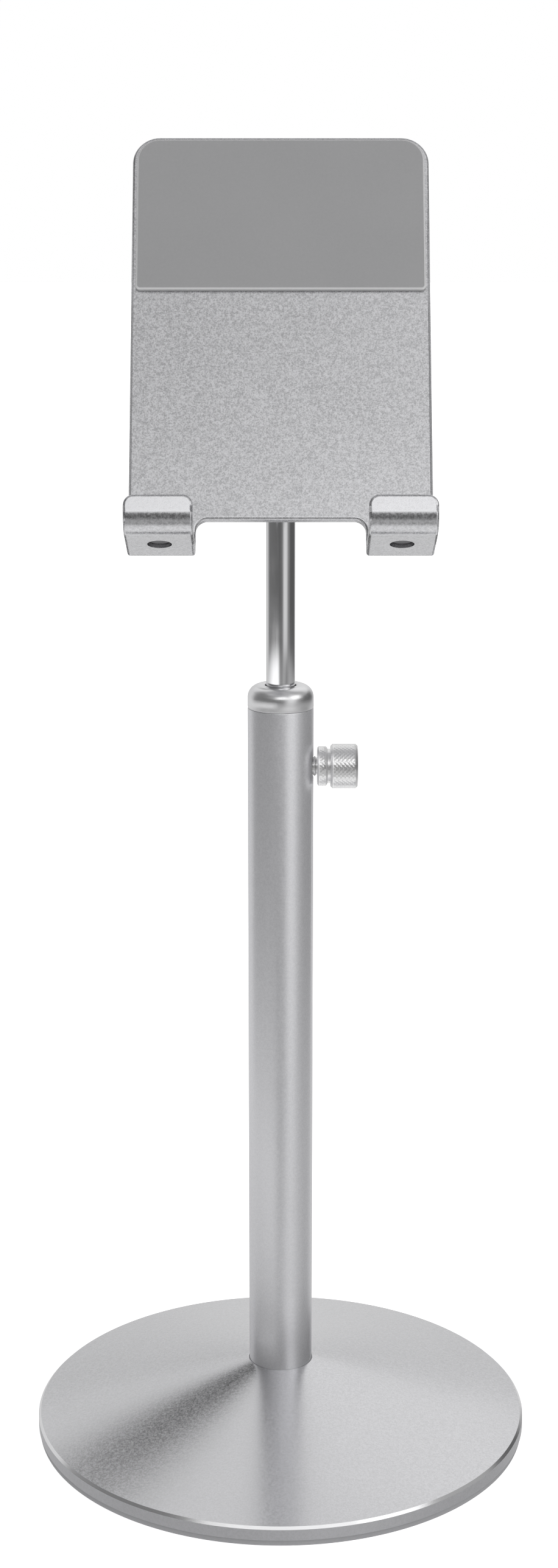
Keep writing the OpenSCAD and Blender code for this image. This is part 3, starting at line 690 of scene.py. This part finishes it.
def buildPads():
    h = holder
    pad = {"thick": 1.2, "gap": 0.03, "margin": 1.0, "up": 53.5, "foot": 1.0, "edge": 0.4}
    half = h["width"] / 2 - pad["margin"]
    low, top = pad["up"] - h["hingeUp"], h["height"] - h["hingeUp"] - pad["margin"]
    bm = slab(bmesh.new(), [(-half, low), (half, low), (half, top), (-half, top)], pad["thick"] - pad["gap"],
              [(0, pad["foot"], 6), (1, pad["foot"], 6), (2, h["corner"] - pad["margin"], 16),
               (3, h["corner"] - pad["margin"], 16)])
    face = h["front"] - pad["thick"]
    moved(bm, y=face)
    front = [e for e in bm.edges if all(abs(v.co.y - face * mm) < tiny for v in e.verts)]
    for face in roundEdges(bm, front, pad["edge"], 3)["faces"]:     # the rounded edge is painted lighter: a painted highlight
        face.material_index = 1
    steady(newPiece("backPad", bm, [greySilicone, padEdgeHighlight], "holder", ["back_pad"], toHolder))

    liner = {"thick": 1.2, "gap": 0.03, "side": 0.8, "topGap": 0.8, "nub": 2.6, "nubDeep": 1.7,
             "nubEdge": 0.5, "corner": 0.87, "edge": 0.3}
    shelf = -h["hingeUp"] - h["hookDrop"] + h["thick"] + liner["gap"]
    lipTop = -h["hingeUp"] - h["lipDrop"] - liner["topGap"]
    front = h["front"] - h["hookDepth"] + h["thick"] + liner["gap"]
    back = front + h["hookDepth"] - h["rearBend"]
    t = liner["thick"]
    wide = h["hookWidth"] - 2 * liner["side"]
    for side, word in ((-1, "left"), (1, "right")):
        mid = side * (h["width"] - h["hookWidth"]) / 2
        bm = slab(bmesh.new(), [(front, lipTop), (front, shelf), (back, shelf), (back, shelf + t),
                                (front + t, shelf + t), (front + t, lipTop)], wide,
                  [(1, h["frontBend"] - h["thick"] - liner["gap"], 8), (4, liner["corner"], 6)], along="X")
        moved(bm, x=mid - wide / 2)
        tip = shelf - liner["nubDeep"]
        nub = lathe(bmesh.new(), [(0, tip), (liner["nub"], tip, liner["nubEdge"], 4),
                                  (liner["nub"], shelf + t / 2), (0, shelf + t / 2)], steps=64, closed=False)
        moved(nub, x=mid, y=h["front"] - h["holeAt"])
        bm = combine(bm, nub, "UNION")
        piece = newPiece("hookLiner_" + word, bm, [shadedLinerSilicone], "holder", ["hook_liner_" + word], toHolder)
        soften(piece, liner["edge"], 2, 40)


def finishHidden():
    hidden = {"base_weight": turnedIron, "base_screw": platedSteel, "base_washer": platedSteel,
              "column_plug": satinHinge, "guide_bush": whiteNylon, "clamp_nut": turnedBrass,
              "clamp_pad": whiteNylon, "stop_bush": whiteNylon, "rod_end_screw": platedSteel,
              "bracket_screws": platedSteel}
    for node, finish in hidden.items():
        frame["nodes"][node].material_slots[0].material = finish[0]


def buildStudio():
    studio = {"floor": 6.0, "paper": (0.93, 0.93, 0.93), "paperGlow": 0.75,
              "gapAt": (-164.5, 41), "gapInner": 4.5, "gapOuter": 8.5,
              "panelPower": 0.12, "panelSize": 0.2, "panelAt": (0.27, -0.15, 0.38),
              "panelAim": (0.0, -0.03, 0.29), "cameraAt": (-0.0004, -0.5984, 0.3193), "cameraTilt": 76.01,
              "lens": 58.0248447, "sensor": 36}
    bm = bmesh.new()
    bmesh.ops.create_grid(bm, x_segments=1, y_segments=1, size=studio["floor"])
    mesh = bpy.data.meshes.new("studioFloor")
    bm.to_mesh(mesh)
    bm.free()
    floor = bpy.data.objects.new("studioFloor", mesh)
    bpy.context.scene.collection.objects.link(floor)
    paper = Finish("studioPaper", None, (0.9, 0.9, 0.9, 1))
    paper.surface({"Base Color": paper.tint(paper.noise(3.0, 2.0), (0.91, 0.91, 0.91), studio["paper"]),
                   "Roughness": 0.9, "Emission Color": (1, 1, 1, 1),
                   "Emission Strength": studio["paperGlow"]})
    mesh.materials.append(paper.material)
    floor.visible_glossy = False    # metals mirror the studio all round, not the paper

    world = bpy.data.worlds.new("studioWorld")
    world.use_nodes = True
    bpy.context.scene.world = world
    room = Graph(world.node_tree)
    way = room.node("ShaderNodeSeparateXYZ", None, room.node("ShaderNodeTexCoord")["Generated"])
    x, y, z = way[0], way[1], way[2]
    azimuth = room.node("ShaderNodeMath", {"operation": "ARCTAN2"}, x, 0 - y)[0] * (360 / turn)
    # azimuth 0 is straight in front, 90 is the right side, 180 is behind
    bearing = (azimuth + 180) / 360

    def band(stops):
        shades = [((a + 180) / 360, (v, v, v, 1)) for a, v in stops]
        return room.node("ShaderNodeValToRGB", {"stops": shades}, bearing)["Color"]
    rim = band([(-180, 0.75), (-110, 0.6), (-60, 0.46), (0, 0.44), (60, 0.42), (120, 0.5), (180, 0.75)])
    foot = band([(-180, 0.6), (-125, 0.6), (-92, 0.25), (-72, 0.0), (-26, 0.0), (-8, 0.4), (8, 0.9),
                 (22, 1.2), (44, 1.2), (60, 0.75), (80, 0.3), (104, 0.2), (137, 0.7), (180, 0.6)])
    low = band([(-180, 0.62), (-122, 0.8), (-60, 1.6), (-26, 1.7), (-14, 1.1), (-5, 0.4), (8, 0.35),
                (24, 0.42), (48, 0.25), (72, 0.5), (92, 0.5), (120, 0.45), (145, 0.65), (180, 0.62)])
    level = band([(-180, 0.76), (-165, 0.66), (-122, 0.74), (-100, 0.20), (-52, 0.17), (-4, 0.14), (14, 0.22),
                  (27, 0.82), (46, 0.82), (62, 0.30), (84, 0.12), (134, 0.12), (152, 0.7), (180, 0.76)])
    high = band([(-180, 0.87), (-160, 0.8), (-135, 0.8), (-115, 0.3), (-95, 0.2), (-60, 0.22), (-24, 0.4),
                 (-10, 1.7), (12, 1.8), (28, 1.3), (60, 0.6), (90, 0.4), (115, 0.4), (135, 0.8), (150, 0.92),
                 (180, 0.87)])
    upper = band([(-180, 0.9), (-140, 0.88), (-115, 0.3), (-95, 0.2), (-60, 0.2), (-30, 0.24), (-14, 0.26),
                  (14, 0.86), (30, 0.8), (60, 0.5), (90, 0.4), (115, 0.4), (135, 0.8), (150, 0.92),
                  (180, 0.9)])
    crown = band([(-180, 0.9), (-140, 0.88), (-115, 0.4), (-75, 0.4), (-50, 1.1), (50, 1.1), (75, 0.4),
                  (115, 0.4), (140, 0.88), (180, 0.9)])

    # each band starts at its height in degrees, over a soft edge; the floor's light is below them all
    light = (1.05, 1.05, 1.05, 1)
    ceiling = (0.40, 0.40, 0.41, 1)
    for start, soft, above in ((-47, 3, rim), (-27.5, 1.2, foot), (-20.5, 1.5, low), (-13, 0.8, level),
                               (23, 3, high), (40.5, 2, upper), (54, 2, crown), (63, 4, ceiling)):
        rise = z.step(math.sin(math.radians(start - soft)), math.sin(math.radians(start + soft)))
        light = room.mix(rise, light, above)
    azim, elev = (math.radians(v) for v in studio["gapAt"])    # a dark gap between the boxes behind
    toGap = (math.sin(azim) * math.cos(elev), -math.cos(azim) * math.cos(elev), math.sin(elev))
    facing = x * toGap[0] + y * toGap[1] + z * toGap[2]
    gap = facing.step(math.cos(math.radians(studio["gapOuter"])), math.cos(math.radians(studio["gapInner"])))
    light = room.mix(gap, light, (0.0, 0.0, 0.0, 1))
    shown = room.mix(room.node("ShaderNodeLightPath")["Is Camera Ray"], light, (1, 1, 1, 1))
    backing = room.tree.nodes["Background"]
    room.tree.links.new(shown.socket, backing.inputs["Color"])
    backing.inputs["Strength"].default_value = 1.0

    data = bpy.data.lights.new("sidePanel", "AREA")
    data.shape, data.size, data.energy = "SQUARE", studio["panelSize"], studio["panelPower"]
    panel = bpy.data.objects.new("sidePanel", data)
    bpy.context.scene.collection.objects.link(panel)
    panel.location = studio["panelAt"]
    away = Vector(studio["panelAt"]) - Vector(studio["panelAim"])
    panel.rotation_euler = away.to_track_quat("Z", "Y").to_euler()
    panel.visible_camera = False

    camera = bpy.data.objects.new("camera", bpy.data.cameras.new("camera"))
    bpy.context.scene.collection.objects.link(camera)
    camera.location = studio["cameraAt"]
    camera.rotation_euler = (math.radians(studio["cameraTilt"]), 0, 0)
    camera.data.sensor_width, camera.data.lens = studio["sensor"], studio["lens"]
    camera.data.clip_start = 0.01
    bpy.context.scene.camera = camera
    bpy.context.scene.view_settings.view_transform = "Standard"


buildBase()
print("base built")
buildColumn()
buildThumbScrew()
print("column and thumbscrew built")
buildRod()
buildHinge()
print("rod and hinge built")
buildHolderPlate()
buildPads()
print("holder built")
finishHidden()
buildStudio()
print("studio ready")
